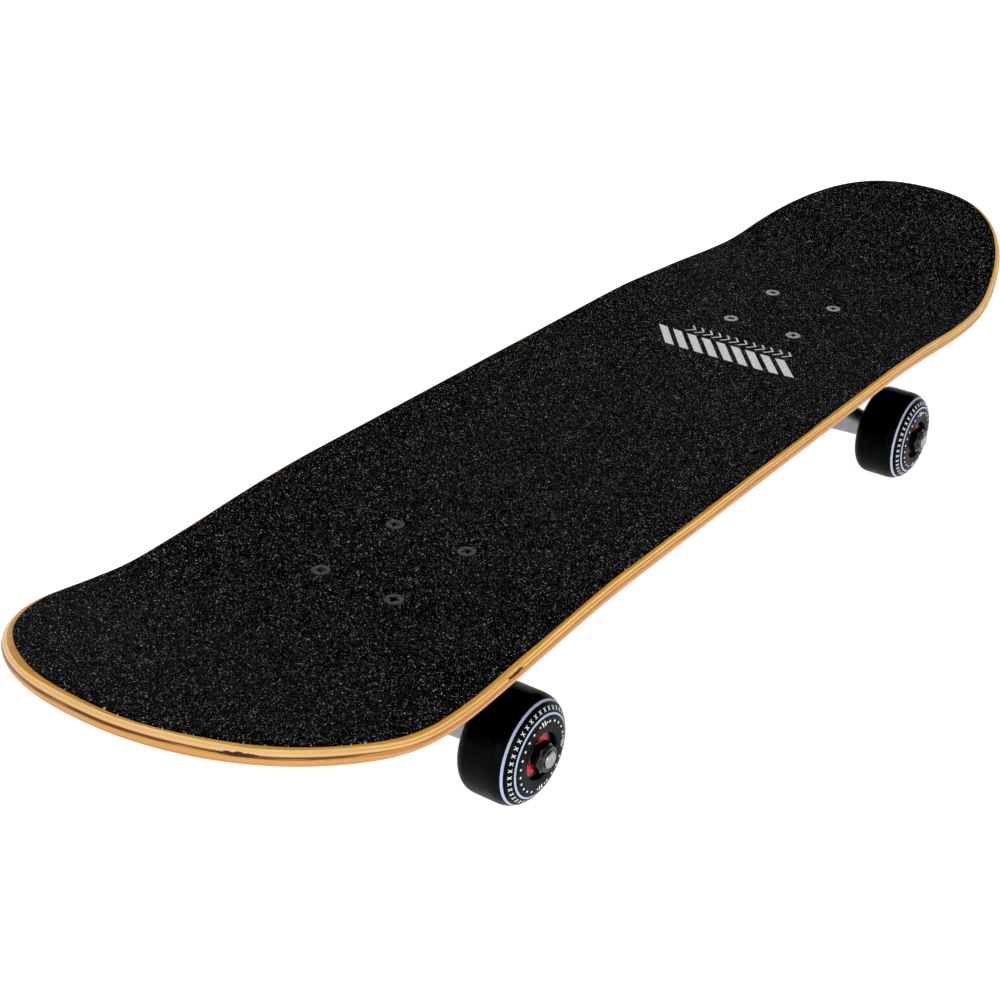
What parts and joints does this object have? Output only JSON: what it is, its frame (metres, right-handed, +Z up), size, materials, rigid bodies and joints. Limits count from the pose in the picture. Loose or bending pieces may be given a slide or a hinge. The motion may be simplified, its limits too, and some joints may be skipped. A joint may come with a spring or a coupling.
{
  "type": "skateboard",
  "caption": "Complete double-kick skateboard: laminated maple deck with grip tape, two steering kingpin trucks and soft-cornered urethane wheels on ball bearings.",
  "frame": {"origin": "on the ground, under the middle of the board's length and width", "axes": "+X along the board towards the nose, +Y across to the left, +Z up"},
  "size_m": [0.7826, 0.192, 0.1172],
  "materials": {
    "maple": "satin clear coat",
    "grip": "rough silicon carbide grit",
    "cast_base": "as cast, tumbled",
    "cast_hanger": "as cast, tumbled",
    "axle_steel": "turned",
    "zinc_steel": "zinc plated",
    "bolt_black": "black oxide",
    "bolt_nickel": "nickel plated",
    "nut_black": "black oxide",
    "pivot_plastic": "moulded",
    "bushing_urethane": "satin cast urethane",
    "wheel_urethane": "satin cast urethane with printed rings",
    "bearing_steel": "ground",
    "shield_red": "gloss"
  },
  "bodies": {
    "board": {"deck": "maple", "grip_tape": "grip", "front_baseplate": "cast_base", "front_pivot_cup": "pivot_plastic", "front_mount_bolts": "bolt_nickel", "front_mount_nuts": "zinc_steel", "front_kingpin": "zinc_steel", "front_kingpin_nut": "zinc_steel", "front_cup_washer_upper": "zinc_steel", "front_cup_washer_lower": "zinc_steel", "front_bushing_upper": "bushing_urethane", "front_bushing_lower": "bushing_urethane", "rear_baseplate": "cast_base", "rear_pivot_cup": "pivot_plastic", "rear_mount_bolts": "bolt_black", "rear_mount_nuts": "zinc_steel", "rear_kingpin": "zinc_steel", "rear_kingpin_nut": "zinc_steel", "rear_cup_washer_upper": "zinc_steel", "rear_cup_washer_lower": "zinc_steel", "rear_bushing_upper": "bushing_urethane", "rear_bushing_lower": "bushing_urethane"},
    "front_hanger_unit": {"front_hanger": "cast_hanger", "front_axle": "axle_steel", "front_speed_rings": "zinc_steel", "front_axle_nuts": "nut_black", "front_left_bearing_inner": "bearing_steel", "front_left_bearing_spacer": "zinc_steel", "front_right_bearing_inner": "bearing_steel", "front_right_bearing_spacer": "zinc_steel"},
    "rear_hanger_unit": {"rear_hanger": "cast_hanger", "rear_axle": "axle_steel", "rear_speed_rings": "zinc_steel", "rear_axle_nuts": "nut_black", "rear_left_bearing_inner": "bearing_steel", "rear_left_bearing_spacer": "zinc_steel", "rear_right_bearing_inner": "bearing_steel", "rear_right_bearing_spacer": "zinc_steel"},
    "front_left_wheel_unit": {"front_left_wheel": "wheel_urethane", "front_left_bearing_outer": "bearing_steel", "front_left_bearing_balls": "bearing_steel", "front_left_bearing_shields": "shield_red"},
    "front_right_wheel_unit": {"front_right_wheel": "wheel_urethane", "front_right_bearing_outer": "bearing_steel", "front_right_bearing_balls": "bearing_steel", "front_right_bearing_shields": "shield_red"},
    "rear_left_wheel_unit": {"rear_left_wheel": "wheel_urethane", "rear_left_bearing_outer": "bearing_steel", "rear_left_bearing_balls": "bearing_steel", "rear_left_bearing_shields": "shield_red"},
    "rear_right_wheel_unit": {"rear_right_wheel": "wheel_urethane", "rear_right_bearing_outer": "bearing_steel", "rear_right_bearing_balls": "bearing_steel", "rear_right_bearing_shields": "shield_red"}
  },
  "joints": [
    {"name": "front_steer", "type": "hinge", "parent": "board", "child": "front_hanger_unit", "pos_m": [0.21116, 0, 0.0674], "axis": [0.9224, 0, 0.3861], "range_deg": [-15, 15], "stiffness_Nm_per_rad": 25, "deforming": ["front_bushing_upper", "front_bushing_lower"]},
    {"name": "rear_steer", "type": "hinge", "parent": "board", "child": "rear_hanger_unit", "pos_m": [-0.22284, 0, 0.0674], "axis": [-0.9224, 0, 0.3861], "range_deg": [-15, 15], "stiffness_Nm_per_rad": 25, "deforming": ["rear_bushing_upper", "rear_bushing_lower"]},
    {"name": "front_left_spin", "type": "hinge", "parent": "front_hanger_unit", "child": "front_left_wheel_unit", "pos_m": [0.19666, 0.076, 0.0265], "axis": [0, 1, 0], "continuous": true},
    {"name": "front_right_spin", "type": "hinge", "parent": "front_hanger_unit", "child": "front_right_wheel_unit", "pos_m": [0.19666, -0.076, 0.0265], "axis": [0, 1, 0], "continuous": true},
    {"name": "rear_left_spin", "type": "hinge", "parent": "rear_hanger_unit", "child": "rear_left_wheel_unit", "pos_m": [-0.20834, 0.076, 0.0265], "axis": [0, 1, 0], "continuous": true},
    {"name": "rear_right_spin", "type": "hinge", "parent": "rear_hanger_unit", "child": "rear_right_wheel_unit", "pos_m": [-0.20834, -0.076, 0.0265], "axis": [0, 1, 0], "continuous": true}
  ]
}
